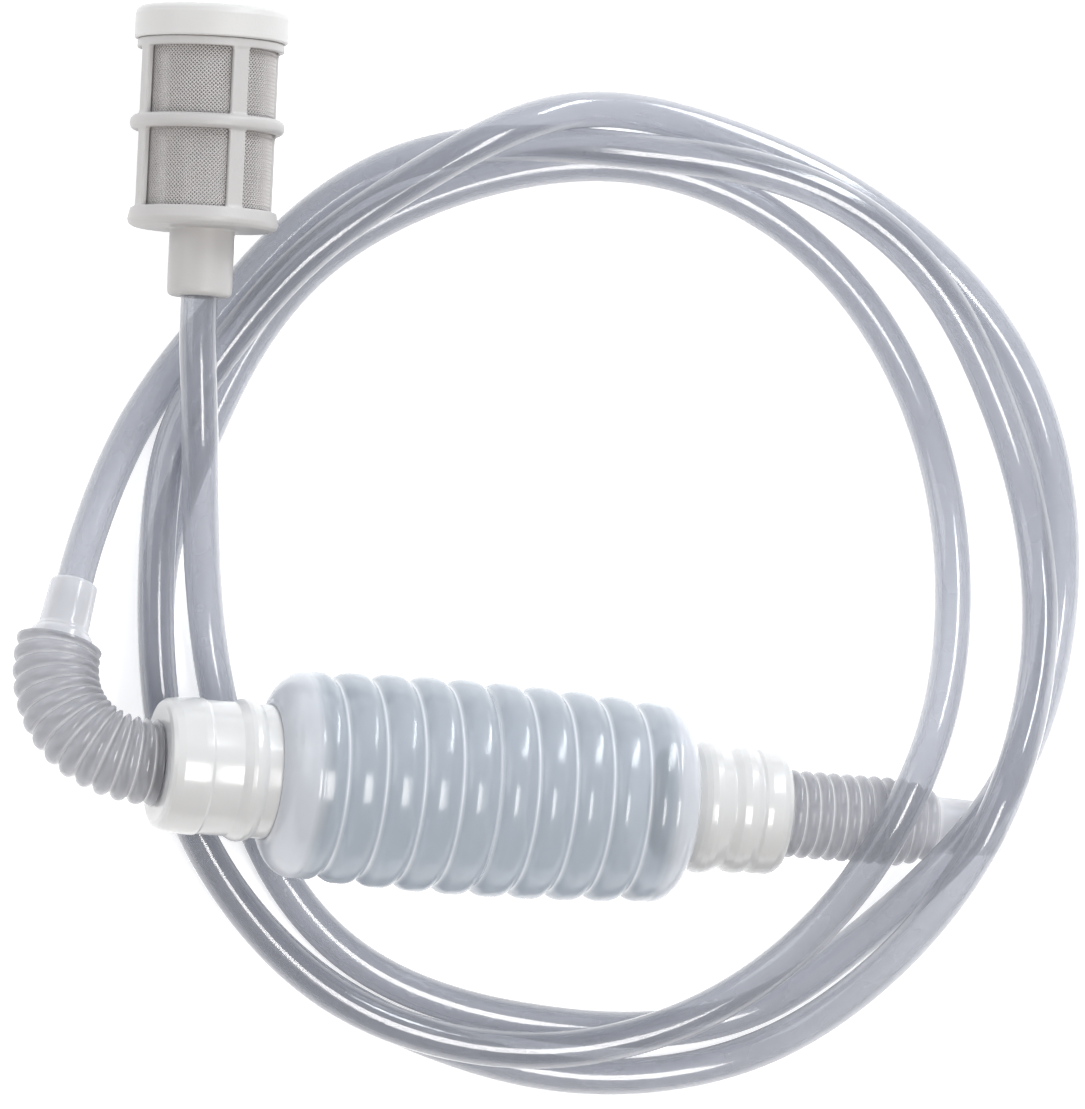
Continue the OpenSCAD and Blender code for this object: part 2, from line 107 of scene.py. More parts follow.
# ---- mesh helpers ----------------------------------------------------------
def make_object(name, verts, faces, mat_index=None, flat=None, attrs=None, mats=()):
    """A mesh object from points in millimetres and four-sided faces."""
    mesh = bpy.data.meshes.new(name)
    verts = np.asarray(verts, np.float32) * MM
    faces = np.asarray(faces, np.int32)
    mesh.vertices.add(len(verts))
    mesh.vertices.foreach_set("co", verts.ravel())
    mesh.loops.add(faces.size)
    mesh.loops.foreach_set("vertex_index", faces.ravel())
    mesh.polygons.add(len(faces))
    starts = np.arange(0, faces.size, faces.shape[1], dtype=np.int32)
    mesh.polygons.foreach_set("loop_start", starts)
    for mat in mats:
        mesh.materials.append(mat)
    if mat_index is not None:
        mesh.polygons.foreach_set("material_index", np.asarray(mat_index, np.int32))
    smooth = np.ones(len(faces), bool) if flat is None else ~np.asarray(flat, bool)
    mesh.update(calc_edges=True)
    mesh.polygons.foreach_set("use_smooth", smooth)
    for key, values in (attrs or {}).items():
        attribute = mesh.attributes.new(key, "FLOAT", "POINT")
        attribute.data.foreach_set("value", np.asarray(values, np.float32))
    mesh.validate()
    return link_object(name, mesh)


def link_object(name, data):
    obj = bpy.data.objects.new(name, data)
    scene.collection.objects.link(obj)
    return obj


def ring_indices(rows, sides):
    """Each ring vertex's index and its neighbour's round the ring, row by row."""
    i, j = np.meshgrid(np.arange(rows), np.arange(sides), indexing="ij")
    return (i * sides + j).ravel(), (i * sides + (j + 1) % sides).ravel()


def rings(centres, tangents, radii, sides):
    """Circles round a path, with the same sides up all along it."""
    t = tangents / np.linalg.norm(tangents, axis=1)[:, None]
    level = np.stack([t[:, 1], -t[:, 0], np.zeros(len(t))], 1)
    level /= np.linalg.norm(level, axis=1)[:, None]
    other = np.cross(t, level)
    a = np.linspace(0, 2 * math.pi, sides, endpoint=False)
    circle = (np.cos(a)[None, :, None] * level[:, None]
              + np.sin(a)[None, :, None] * other[:, None])
    return (centres[:, None] + radii[:, None, None] * circle).reshape(-1, 3)


def sweep(name, centres, outer, bore, sides, mats, groove=None, cuff_rings=0):
    """A pipe with a wall along a path. Material 0 is the outside, 1 the bore and
    2 the first end face and the first cuff_rings rings of the outside."""
    count = len(centres)
    tangents = np.gradient(centres, axis=0)
    verts = np.concatenate([rings(centres, tangents, outer, sides),
                            rings(centres, tangents, bore, sides)])
    a, b = ring_indices(count - 1, sides)
    k = count * sides
    outside = np.stack([a, b, b + sides, a + sides], 1)
    inside = np.stack([k + a, k + a + sides, k + b + sides, k + b], 1)
    q, r = ring_indices(1, sides)
    first = np.stack([q, k + q, k + r, r], 1)
    e = (count - 1) * sides
    last = np.stack([e + q, e + r, k + e + r, k + e + q], 1)
    faces = np.concatenate([outside, inside, first, last])
    index = np.concatenate([np.zeros(len(outside)), np.ones(len(inside)), np.zeros(2 * sides)])
    if cuff_rings:
        index[:cuff_rings * sides] = 2
        end_face = len(outside) + len(inside)
        index[end_face:end_face + sides] = 2
    flat = np.arange(len(faces)) >= len(outside) + len(inside)
    attrs = None if groove is None else {"groove": np.tile(np.repeat(groove, sides), 2)}
    return make_object(name, verts, faces, index, flat, attrs, mats)


def fillet(points, radius, steps):
    """Rounds the corners of a closed outline. radius is one number or one per corner."""
    pts = [np.array(p, float) for p in points]
    radii = np.broadcast_to(radius, len(pts))
    rounded = []
    for i, (p, r) in enumerate(zip(pts, radii)):
        a, b = pts[i - 1], pts[(i + 1) % len(pts)]
        length_a, length_b = np.linalg.norm(a - p), np.linalg.norm(b - p)
        to_a, to_b = (a - p) / length_a, (b - p) / length_b
        half = math.acos(float(np.clip(to_a @ to_b, -1, 1))) / 2
        if r <= 0 or half > math.radians(88):
            rounded.append(p)
            continue
        d = min(r / math.tan(half), 0.45 * length_a, 0.45 * length_b)
        for q in range(steps + 1):
            t = q / steps
            rounded.append((1 - t) ** 2 * (p + to_a * d) + 2 * t * (1 - t) * p
                           + t * t * (p + to_b * d))
    return np.array(rounded)


def turned(profile, sides, origin=np.zeros(3), axes=np.eye(3)):
    """Points and faces of a closed outline of (radius, station) turned round the last axis."""
    prof = np.asarray(profile, float)
    side, other, axis = axes
    radius, station = prof[:, 0], prof[:, 1]
    a = np.linspace(0, 2 * math.pi, sides, endpoint=False)
    circle = np.cos(a)[None, :, None] * side + np.sin(a)[None, :, None] * other
    verts = origin + station[:, None, None] * axis + radius[:, None, None] * circle
    p, q = ring_indices(len(prof), sides)
    total = len(prof) * sides
    p2, q2 = (p + sides) % total, (q + sides) % total
    # the way round the outline decides which way the faces look
    signed_area = 0.5 * np.sum(radius * np.roll(station, -1) - np.roll(radius, -1) * station)
    order = [p, q, q2, p2] if signed_area > 0 else [p, p2, q2, q]
    return verts.reshape(-1, 3), np.stack(order, 1)


def turn_on_pump(name, profile, sides, mats, index=None, marks=None):
    """A piece turned round the pump. index and marks hold one value per outline point."""
    verts, faces = turned(profile, sides, PUMP, PUMP_AXES)
    mat_index = None if index is None else np.repeat(index, sides)
    attrs = {key: np.repeat(values, sides) for key, values in (marks or {}).items()}
    return make_object(name, verts, faces, mat_index, None, attrs, mats)


def groove_mark(phase, width):
    """1 at the bottom of a groove (phase -0.5 or 0.5), fading to 0 towards the crest."""
    return np.exp(-((1 - np.abs(2 * phase)) / width) ** 2)


# ---- material helpers ------------------------------------------------------
WHITE = (1.0, 1.0, 1.0)


class Nodes:
    """Builds the node tree of a material or a world. Colours are given as RGB."""

    def __init__(self, owner, output="OutputMaterial", target="Surface"):
        self.owner = owner
        owner.use_nodes = True
        self.tree = owner.node_tree
        self.tree.nodes.clear()
        self.target = self.tree.nodes.new("ShaderNode" + output).inputs[target]

    def add(self, kind, inputs=None, output=0, **settings):
        """Adds a node, sets or links its inputs, and returns one of its outputs."""
        node = self.tree.nodes.new("ShaderNode" + kind)
        for key, value in settings.items():
            setattr(node, key, value)
        for key, value in (inputs or {}).items():
            socket = node.inputs[key]
            if isinstance(value, bpy.types.NodeSocket):
                self.tree.links.new(value, socket)
            else:
                socket.default_value = (*value, 1) if socket.type == "RGBA" else value
        return node.outputs[output]

    def math(self, operation, a, b, clamp=False):
        return self.add("Math", {0: a, 1: b}, operation=operation, use_clamp=clamp)

    def ramp(self, fac, stops, interpolation):
        colour = self.add("ValToRGB", {"Fac": fac})
        band = colour.node.color_ramp
        band.interpolation = interpolation
        while len(band.elements) < len(stops):
            band.elements.new(0.5)
        for element, (position, rgb) in zip(band.elements, stops):
            element.position = position
            element.color = (*rgb, 1)
        return colour

    def mix_colour(self, fac, a, b, blend="MIX"):
        return self.add("Mix", {0: fac, 6: a, 7: b}, output=2, data_type="RGBA", blend_type=blend)

    def mix_shader(self, fac, a, b):
        return self.add("MixShader", {0: fac, 1: a, 2: b})

    def noise(self, scale, detail, rough):
        place = self.add("TexCoord", output="Object")
        return self.add("TexNoise", {"Scale": scale, "Detail": detail, "Roughness": rough,
                                     "Vector": place})

    def bump(self, height, strength, distance):
        return self.add("Bump", {"Strength": strength, "Distance": distance, "Height": height},
                        output="Normal")

    def outward(self, inward_loss):
        """1 on a face met from outside the wall, less inward_loss when met from inside."""
        inside = self.add("NewGeometry", output="Backfacing")
        return self.math("SUBTRACT", 1.0, self.math("MULTIPLY", inside, inward_loss))

    def finish(self, shader):
        self.tree.links.new(shader, self.target)
        return self.owner


def soft_plastic(name, body, body_b, tint, clear, edge, rough, glow, spec=1.0, groove=None,
                 groove_cover=0.0, wave=0.0, rim=None, thin_clear=0.0, relief=0.35, inward=0.55):
    """Cloudy see-through plastic: a tinted see-through share, a soft body, a gloss on top.
    body, body_b: the two colours the clouds mix; tint: colour of the see-through share.
    clear, edge: how much the body covers what is behind, facing and at the rim.
    rough, spec, inward: gloss roughness, strength, and loss when met from inside the wall.
    glow: share of the body that lets light through.
    groove, groove_cover: colour and extra cover in the grooves. The groove colour is partly the thicker, whiter
    plastic there and partly a painted highlight of the bright line each groove catches.
    wave, relief: height of the broad waves and strength of the bump.
    rim: (facing, brightness) stops from facing (0) to grazing (1), as a wall seen end-on.
    thin_clear: cover lost where the wall is marked thin; a negative value adds cover. Where it is set, the thin
    parts are also painted a lighter colour: painted light that lifts the shade seen through them."""
    m = Nodes(bpy.data.materials.new(name))
    cloud = m.noise(scale=55.0, detail=3.0, rough=0.55)
    grain = m.noise(scale=900.0, detail=2.0, rough=0.5)
    colour = m.mix_colour(cloud, body, body_b)
    facing = m.add("LayerWeight", {"Blend": 0.5}, output="Facing")
    grain_height = 0.06
    height = m.math("MULTIPLY", grain, grain_height)
    if wave:
        broad = m.noise(scale=120.0, detail=1.0, rough=0.4)
        height = m.math("ADD", height, m.math("MULTIPLY", broad, wave))
    bump = m.bump(height, strength=relief, distance=0.0004)
    rim_power = 2.0
    towards_rim = m.math("POWER", facing, rim_power)
    opacity = m.math("ADD", clear, m.math("MULTIPLY", towards_rim, edge - clear))
    if rim is not None:
        scale = m.ramp(facing, [(at, (v, v, v)) for at, v in rim], "LINEAR")
        colour = m.mix_colour(1.0, colour, scale, "MULTIPLY")
        # the stops hold half the brightness, so it is doubled here
        colour = m.mix_colour(1.0, colour, (2.0, 2.0, 2.0), "MULTIPLY")
    # painted highlight in part: the grooves are mixed towards a lighter colour, for the thicker plastic there and
    # for the bright line they catch
    if groove is not None:
        mark = m.add("Attribute", output="Fac", attribute_name="groove")
        colour = m.mix_colour(mark, colour, groove)
        opacity = m.math("ADD", opacity, m.math("MULTIPLY", mark, groove_cover))
    if thin_clear:
        mark = m.add("Attribute", output="Fac", attribute_name="thin")
        # painted light: the thin shoulders are painted lighter, to lift the shade seen through them
        shoulder_painted_light = (0.80, 0.815, 0.85)
        colour = m.mix_colour(mark, colour, shoulder_painted_light)
        opacity = m.math("SUBTRACT", opacity, m.math("MULTIPLY", mark, thin_clear))
    # clouds scale the cover, from cloud_low up by cloud_swing
    cloud_low, cloud_swing = 0.92, 0.16
    cover = m.math("ADD", cloud_low, m.math("MULTIPLY", cloud, cloud_swing))
    opacity = m.math("MULTIPLY", opacity, cover, clamp=True)
    through = m.add("BsdfTransparent", {"Color": tint})
    diffuse = m.add("BsdfDiffuse", {"Color": colour, "Roughness": 0.5, "Normal": bump})
    translucent = m.add("BsdfTranslucent", {"Color": colour, "Normal": bump})
    soft = m.mix_shader(glow, diffuse, translucent)
    body_mix = m.mix_shader(opacity, through, soft)
    smear, smear_swing = m.noise(scale=240.0, detail=3.0, rough=0.6), 0.06
    gloss_rough = m.math("ADD", rough, m.math("MULTIPLY", smear, smear_swing))
    gloss = m.add("BsdfAnisotropic", {"Color": WHITE, "Roughness": gloss_rough, "Normal": bump})
    fresnel = m.add("Fresnel", {"IOR": 1.47, "Normal": bump})
    outward = m.outward(inward_loss=inward)
    share = m.math("MULTIPLY", m.math("MULTIPLY", fresnel, spec, clamp=True), outward)
    return m.finish(m.mix_shader(share, body_mix, gloss))


def bore_plastic(name, tint, body, cover, spec):
    """The inner face of a see-through wall. cover is the body's mean share of it."""
    m = Nodes(bpy.data.materials.new(name))
    through = m.add("BsdfTransparent", {"Color": tint})
    soft = m.add("BsdfTranslucent", {"Color": body})
    cloud = m.math("MULTIPLY", m.noise(scale=80.0, detail=2.0, rough=0.5), cover * 2.0)
    body_mix = m.mix_shader(cloud, through, soft)
    gloss = m.add("BsdfAnisotropic", {"Color": WHITE, "Roughness": 0.2})
    outward = m.outward(inward_loss=0.85)
    fresnel = m.add("Fresnel", {"IOR": 1.35})
    share = m.math("MULTIPLY", m.math("MULTIPLY", fresnel, spec, clamp=True), outward)
    return m.finish(m.mix_shader(share, body_mix, gloss))


def moulded(name, colour, colour_b, rough, bump_fine, wave=0.0, sss=0.0, coat=0.0, spec=0.5):
    """Solid plastic or rubber. bump_fine and wave are the heights of the grain and of the
    broad waves; sss and coat are the shares of light under the skin and of clear coat."""
    m = Nodes(bpy.data.materials.new(name))
    cloud = m.noise(scale=40.0, detail=3.0, rough=0.55)
    base = m.mix_colour(cloud, colour, colour_b)
    height = m.math("MULTIPLY", m.noise(scale=1400.0, detail=3.0, rough=0.6), bump_fine)
    if wave:
        broad = m.noise(scale=110.0, detail=1.0, rough=0.4)
        height = m.math("ADD", height, m.math("MULTIPLY", broad, wave))
    bump = m.bump(height, strength=0.3, distance=0.0003)
    smear, smear_swing = m.noise(scale=260.0, detail=4.0, rough=0.6), 0.1
    roughness = m.math("ADD", rough, m.math("MULTIPLY", smear, smear_swing))
    inputs = {"Roughness": roughness, "Normal": bump, "Base Color": base,
              "Specular IOR Level": spec}
    if sss:
        inputs.update({"Subsurface Weight": sss, "Subsurface Radius": (1.0, 0.9, 0.75),
                       "Subsurface Scale": 0.002})
    if coat:
        inputs.update({"Coat Weight": coat, "Coat Roughness": 0.12})
    return m.finish(m.add("BsdfPrincipled", inputs))


# ---- materials -------------------------------------------------------------
HOSE_RIM = [(0.0, 0.44), (0.34, 0.43), (0.44, 0.47), (0.62, 0.49), (0.78, 0.45), (0.90, 0.41),
            (1.0, 0.37)]
HOSE = soft_plastic(
    "hose_vinyl", body=(0.425, 0.435, 0.47), body_b=(0.465, 0.47, 0.495),
    tint=(0.835, 0.845, 0.87), clear=0.41, edge=0.84, rough=0.13, glow=0.35, spec=1.5,
    rim=HOSE_RIM, relief=0.06, inward=0.95)
HOSE_IN = bore_plastic("hose_bore", tint=(0.96, 0.965, 0.98), body=(0.70, 0.72, 0.78),
                       cover=0.07, spec=0.8)
# the lighter groove colour is partly a painted highlight of the bright groove lines
FLEX = soft_plastic(
    "flex_vinyl", body=(0.45, 0.455, 0.475), body_b=(0.50, 0.50, 0.52),
    tint=(0.80, 0.805, 0.825), clear=0.42, edge=0.85, rough=0.14, glow=0.35,
    groove=(0.95, 0.95, 0.96), groove_cover=0.3)
FLEX_IN = bore_plastic("flex_bore", tint=(0.93, 0.93, 0.94), body=(0.62, 0.62, 0.65),
                       cover=0.10, spec=0.6)
CUFFS = soft_plastic(
    "cuff_vinyl", body=(0.86, 0.865, 0.885), body_b=(0.89, 0.89, 0.905),
    tint=(0.95, 0.955, 0.965), clear=0.66, edge=0.88, rough=0.14, glow=0.45)
# the lighter groove colour is partly a painted highlight of the bright groove lines
# thin_clear also paints the shoulders lighter, as painted light over the shade seen through them
BELLOWS = soft_plastic(
    "bellows_plastic", body=(0.45, 0.497, 0.55), body_b=(0.49, 0.525, 0.562),
    tint=(0.88, 0.90, 0.92), clear=0.60, edge=0.84, rough=0.16, glow=0.40,
    groove=(0.93, 0.945, 0.97), groove_cover=0.15, wave=0.15, thin_clear=-0.10)
BELLOWS_IN = bore_plastic("bellows_inside", tint=(0.96, 0.965, 0.975), body=(0.76, 0.78, 0.82),
                          cover=0.10, spec=0.4)
COUPLING = moulded("coupling_plastic", colour=(0.525, 0.525, 0.525), colour_b=(0.585, 0.585, 0.58),
                   rough=0.20, sss=0.25, coat=0.45, bump_fine=0.2, wave=1.0)
STRAINER_CAP = moulded("strainer_plastic", colour=(0.525, 0.515, 0.505),
                       colour_b=(0.58, 0.57, 0.557), rough=0.38, sss=0.12, bump_fine=0.5, wave=0.3)
CAGE = moulded("cage_plastic", colour=(0.42, 0.408, 0.400), colour_b=(0.465, 0.452, 0.444),
               rough=0.38, sss=0.12, bump_fine=0.5, wave=0.3)
NET = moulded("net_nylon", colour=(0.43, 0.408, 0.40), colour_b=(0.56, 0.535, 0.525),
              rough=0.45, bump_fine=0.4)
VALVE = moulded("valve_plastic", colour=(0.74, 0.74, 0.73), colour_b=(0.80, 0.80, 0.79),
                rough=0.30, sss=0.2, bump_fine=0.3)
BALL = moulded("ball_plastic", colour=(0.56, 0.57, 0.58), colour_b=(0.62, 0.63, 0.64),
               rough=0.18, coat=0.3, bump_fine=0.15)
SEAL = moulded("seal_rubber", colour=(0.035, 0.036, 0.038), colour_b=(0.05, 0.05, 0.053),
               rough=0.55, bump_fine=0.8, spec=0.35)

# ---- the long hose ---------------------------------------------------------
HOSE_R, HOSE_BORE = 5.0, 4.0
LOOP_X, LOOP_Y, LOOP_R = 9.9, -6.5, 122
LOOP_START, LOOP_STEP = 165, 15         # degrees round the loops
LOOP_SQUASH = 0.954                     # width along x against width along y
LOOP_LEAN = 0.17                        # shift along x for each millimetre of height
END_REACH = 12                          # control points this far either side of both ends
# distance outside the loop radius, one value per step, a block for each turn
LANES = [
    1, -11, -14.6, -12.8, -6.2, -2.4, -3.8, -4.5, -0.5, 4, -1.5, -3,
    3, 13, 18, 18, 13.5, 9, 6.2, 8, 8, 0.5, 0.3,

    1.5, 6, 3.2, 4.6, 9.2, 10, 10.7, 6.8, 3, -1.7, -7.5, -17,
    -25, -25, -21, -16.5, -13.5, -11.2, -8.5, -6.7, -6.5, -7.8, -7.2, -4.8,

    -5.4, -6.4, -0.2, 1, 6.3, 7.3, 8.2, 6.5, 9.2, 11.8, 14, 6.5,
    -2.5, -4, 4.5, 6, 4.5, 6.5, 5, -0.5, -4.4, 0.8, 6, 6, 5.8, 14.5]
# height of the hose's middle at the same steps
RISES = [
    26.5, 12, 5, 5, 5, 5, 5, 5, 5, 5, 18.8, 40.8,
    34.5, 13, 5, 5, 5, 5, 5, 9.5, 27.5, 20, 14,

    15, 12.3, 15.5, 15.5, 15.5, 15.5, 15.5, 15.7, 14.8, 16.5, 21, 34.6,
    44.3, 37.5, 21, 9.5, 5, 5, 5, 5, 5, 5, 5, 5,

    5, 5, 5, 5, 5, 5, 5, 5, 5, 5, 8, 31,
    52, 48.5, 22, 12, 12.5, 15, 15.7, 15.2, 16.2, 12, 5, 5, 5, 6]


def hose_controls():
    # a B-spline runs inside its control points by this share on a circle
    pull_in = (4 + 2 * math.cos(math.radians(LOOP_STEP))) / 6
    points = [STRAINER + d * STRAINER_AXIS for d in (END_REACH, 0, -END_REACH)]
    for i, (lane, z) in enumerate(zip(LANES, RISES)):
        a = math.radians(LOOP_START + LOOP_STEP * i)
        r = (LOOP_R + lane) / pull_in
        points.append(np.array([LOOP_X + LOOP_SQUASH * r * math.cos(a) + LOOP_LEAN * z,
                                LOOP_Y + r * math.sin(a), z]))
    points += [CUFF + d * CUFF_AXIS for d in (-END_REACH, 0, END_REACH)]
    return np.array(points)


def bspline(p, steps):
    """Points along the uniform cubic B-spline of the control points p."""
    t = np.linspace(0, 1, steps, endpoint=False)[:, None]
    pieces = [((1 - t) ** 3 * p[i - 1] + (3 * t ** 3 - 6 * t * t + 4) * p[i]
               + (-3 * t ** 3 + 3 * t * t + 3 * t + 1) * p[i + 1] + t ** 3 * p[i + 2]) / 6
              for i in range(1, len(p) - 2)]
    pieces.append(((p[-3] + 4 * p[-2] + p[-1]) / 6)[None])
    return np.concatenate(pieces)


def build_clear_hose():
    in_strainer = [STRAINER + d * STRAINER_AXIS for d in (15.5, 12, 8, 4)]
    in_cuff = [CUFF + d * CUFF_AXIS for d in (3.5, 7, 10.5, 14)]
    line = np.concatenate([in_strainer, bspline(hose_controls(), steps=14), in_cuff])
    hose = sweep("clear_hose", line, np.full(len(line), HOSE_R), np.full(len(line), HOSE_BORE),
                 sides=40, mats=[HOSE, HOSE_IN])
    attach(hose, "hose_set")
    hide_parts("inlet_tube")


build_clear_hose()

# ---- corrugated elbow hose -------------------------------------------------
ELBOW_WAVES, ELBOW_WAVE_STEPS = 13, 20
ELBOW_CREST_R, ELBOW_DEPTH = 11.7, 1.9
FLEX_GROOVE = 0.16                      # width of the marked groove, as a share of half a wave
# (distance from the cuff's mouth, outside radius, bore radius)
ELBOW_CUFF = np.array([
    (0, 5.75, 5.25), (0.12, 6.05, 5.14), (0.5, 6.4, 5.13), (1.1, 6.5, 5.13), (7, 6.7, 5.13),
    (12.6, 6.86, 5.13), (13.2, 6.95, 5.13), (13.55, 7.2, 5.13), (13.9, 7.42, 5.13),
    (14.15, 7.45, 5.13), (14.35, 7.5, 4.3), (14.75, 7.9, 4.3), (15.0, 8.3, 4.3),
    (15.4, 8.5, 5.5), (15.8, 8.62, 7.4), (16.6, 8.75, 7.7), (17.3, 8.85, 7.8),
    (17.7, 9.0, 8.1)])


def even_bezier(a, b, c, d, count):
    """Points evenly spaced along a cubic Bezier curve."""
    t = np.linspace(0, 1, 801)[:, None]
    fine = (1 - t) ** 3 * a + 3 * (1 - t) ** 2 * t * b + 3 * (1 - t) * t * t * c + t ** 3 * d
    run = np.concatenate([[0], np.cumsum(np.linalg.norm(np.diff(fine, axis=0), axis=1))])
    where = np.linspace(0, run[-1], count)
    return np.stack([np.interp(where, run, fine[:, k]) for k in range(3)], 1)


def build_elbow():
    start = CUFF + 18 * CUFF_AXIS
    end = on_pump(-(INLET_NECK_END * REACH + 0.75))
    count = ELBOW_WAVES * ELBOW_WAVE_STEPS + 1
    bend = even_bezier(start, start + 18 * CUFF_AXIS, end - 20.6 * PUMP_AXIS, end, count)
    # -0.5 in the grooves, 0 on the crests
    phase = (np.arange(count) / ELBOW_WAVE_STEPS + 0.5) % 1 - 0.5
    bend_r = ELBOW_CREST_R - ELBOW_DEPTH * np.abs(2 * phase) ** 2.44
    sleeve = [end + d * PUMP_AXIS for d in (0.6, 2.5, 5, 8.75)]
    plain_cuff, plain_sleeve = np.zeros(len(ELBOW_CUFF)), np.zeros(len(sleeve))
    elbow = sweep(
        "elbow_hose", np.concatenate([CUFF + ELBOW_CUFF[:, :1] * CUFF_AXIS, bend, sleeve]),
        outer=np.concatenate([ELBOW_CUFF[:, 1], bend_r, plain_sleeve + SLEEVE_R]),
        bore=np.concatenate([ELBOW_CUFF[:, 2], bend_r - FLEX_WALL, plain_sleeve + SLEEVE_BORE]),
        sides=64, mats=[FLEX, FLEX_IN, CUFFS],
        groove=np.concatenate([plain_cuff, groove_mark(phase, FLEX_GROOVE), plain_sleeve]),
        cuff_rings=len(ELBOW_CUFF))
    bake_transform(elbow)
    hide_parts("inlet_flex_hose")


build_elbow()

# ---- corrugated outlet hose ------------------------------------------------
OUTLET_WAVES, OUTLET_WAVE_STEPS = 11, 16
OUTLET_CREST_R, OUTLET_DEPTH = 11.9, 1.6
CREST_DROP = {OUTLET_WAVES - 2: 0.8, OUTLET_WAVES - 1: 2.2}     # the last two waves are smaller
OUTLET_NECK = OUTLET_NECK_END * REACH
OUTLET_CUFF = 129.0                     # station where the cuff begins
OUTLET_WAVE = (OUTLET_CUFF - OUTLET_NECK - 1.6) / OUTLET_WAVES


def build_outlet_hose():
    waves, marks = [], []
    for i in range(OUTLET_WAVES):
        for k in range(OUTLET_WAVE_STEPS):
            phase = k / OUTLET_WAVE_STEPS - 0.5
            r = OUTLET_CREST_R - CREST_DROP.get(i, 0) - OUTLET_DEPTH * abs(2 * phase) ** 2.3
            waves.append((r, OUTLET_NECK + 0.6 + (i + k / OUTLET_WAVE_STEPS) * OUTLET_WAVE))
            marks.append(groove_mark(phase, FLEX_GROOVE))
    inner_waves = [(r - FLEX_WALL, s) for r, s in waves[::-1]]
    neck, cuff, end = OUTLET_NECK, OUTLET_CUFF, OUTLET_END
    # all outlines are (radius, station)
    sleeve = [(SLEEVE_R, neck - 8), (SLEEVE_R, neck - 4), (SLEEVE_R, neck - 0.2),
              (9.3, neck + 0.15)]
    cuff_outside = [
        (8.4, cuff - 0.9), (8.05, cuff - 0.5), (7.8, cuff), (7.68, cuff + 0.6),
        (7.55, cuff + 4), (7.4, cuff + 9), (7.25, end - 1.2), (7.15, end - 0.6),
        (6.9, end - 0.15), (6.6, end), (5.6, end), (5.2, end - 0.15)]
    cuff_bore = [(5.0, end - 0.6), (5.0, end - 6), (5.0, end - 14), (4.2, end - 14),
                 (4.2, cuff + 2.8), (7, cuff - 0.4)]
    sleeve_bore = [(SLEEVE_BORE, neck + 0.1), (SLEEVE_BORE, neck - 4), (SLEEVE_BORE, neck - 8)]
    outside = sleeve + waves
    inside = cuff_bore + inner_waves + sleeve_bore
    cuff_points = len(cuff_outside) + len(cuff_bore)
    groove = ([0] * len(sleeve) + marks + [0] * cuff_points + marks[::-1]
              + [0] * len(sleeve_bore))
    index = [0] * len(outside) + [2] * len(cuff_outside) + [1] * len(inside)
    hose = turn_on_pump("outlet_hose", outside + cuff_outside + inside, 72,
                        [FLEX, FLEX_IN, CUFFS], index, {"groove": groove})
    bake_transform(hose)
    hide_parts("outlet_flex_hose")


build_outlet_hose()

# ---- bellows ---------------------------------------------------------------
RIBS, RIB_STEPS, PITCH, DEPTH = 10, 24, 10.55, 2.8
FOOT = 66 * REACH - 3.8                 # station of both ends of the bellows
LAST_RIB = PITCH * (RIBS - 1) / 2
RIB_WALL, SHOULDER_WALL = 1.0, 0.8


def crown(station):
    """Crest radius, barrelled along the bellows."""
    return 29.1 - 0.0007 * (station + 7.5) ** 2


def rib_drop(phase):
    """Drop below the crest over one rib, -0.5 to 0.5: round crest, narrow groove with a
    fine bead in it."""
    x = abs(2 * phase)
    bead = 0.45 * math.exp(-((1 - x) / 0.07) ** 2)
    return DEPTH * x ** 3.1 - bead


def shoulder(rib_r, foot_r, rib_s, foot_s):
    """Part of an ellipse from the end rib down towards the foot."""
    return [(foot_r + (rib_r - foot_r) * math.cos(math.radians(a)),
             rib_s + (foot_s - rib_s) * math.sin(math.radians(a)))
            for a in np.linspace(0, 76, 18)]


def thin_at(station):
    """1 on the shoulders, where the blown wall is thin, 0 along the ribs. The material also paints the shoulders
    lighter by it, as painted light.
    """
    return min(1.0, max(0.0, (abs(station) - 47.2) / 3.8))


def plain(points):
    """(radius, station) points with no groove mark."""
    return [(r, s, 0.0) for r, s in points]


def bellows_walls():
    """Outer and inner wall as (radius, station, groove mark), inlet end first."""
    ribs = []
    for i in range(RIBS):
        for k in range(RIB_STEPS):
            phase = k / RIB_STEPS - 0.5
            s = -LAST_RIB + (i + phase) * PITCH
            if abs(s) <= LAST_RIB + 0.2 * PITCH:
                ribs.append((crown(s) - rib_drop(phase), s, groove_mark(phase, 0.09)))
    inlet = shoulder(crown(-LAST_RIB) - 0.1, 16.5, -LAST_RIB - 2.25, -FOOT)[::-1]
    outlet = shoulder(crown(LAST_RIB) - 0.1, 15, LAST_RIB + 2.25, FOOT)
    inlet_lip = [(18.05, -FOOT - 0.2), (18.6, -FOOT - 0.25), (18.95, -FOOT - 0.1)]
    outlet_lip = [(16.95, FOOT + 0.1), (16.6, FOOT + 0.25), (16.05, FOOT + 0.2)]
    outer = plain(inlet_lip + inlet) + ribs + plain(outlet + outlet_lip)
    inner = (plain([(18.05, -FOOT + 1.1)] + [(r - SHOULDER_WALL, s + 0.9) for r, s in inlet])
             + [(r - RIB_WALL, s, mark) for r, s, mark in ribs]
             + plain([(r - SHOULDER_WALL, s - 0.9) for r, s in outlet] + [(16.05, FOOT - 1.1)]))
    return outer, inner


def half_wall(points, end):
    """The points on one side of the middle groove (end -1 inlet, 1 outlet), with one
    exactly on it."""
    kept = [p for p in points if p[1] * end > 0.01]
    nearest = min(points, key=lambda p: abs(p[1]))
    middle = [(nearest[0], 0.0, nearest[2])]
    return kept + middle if end < 0 else middle + kept


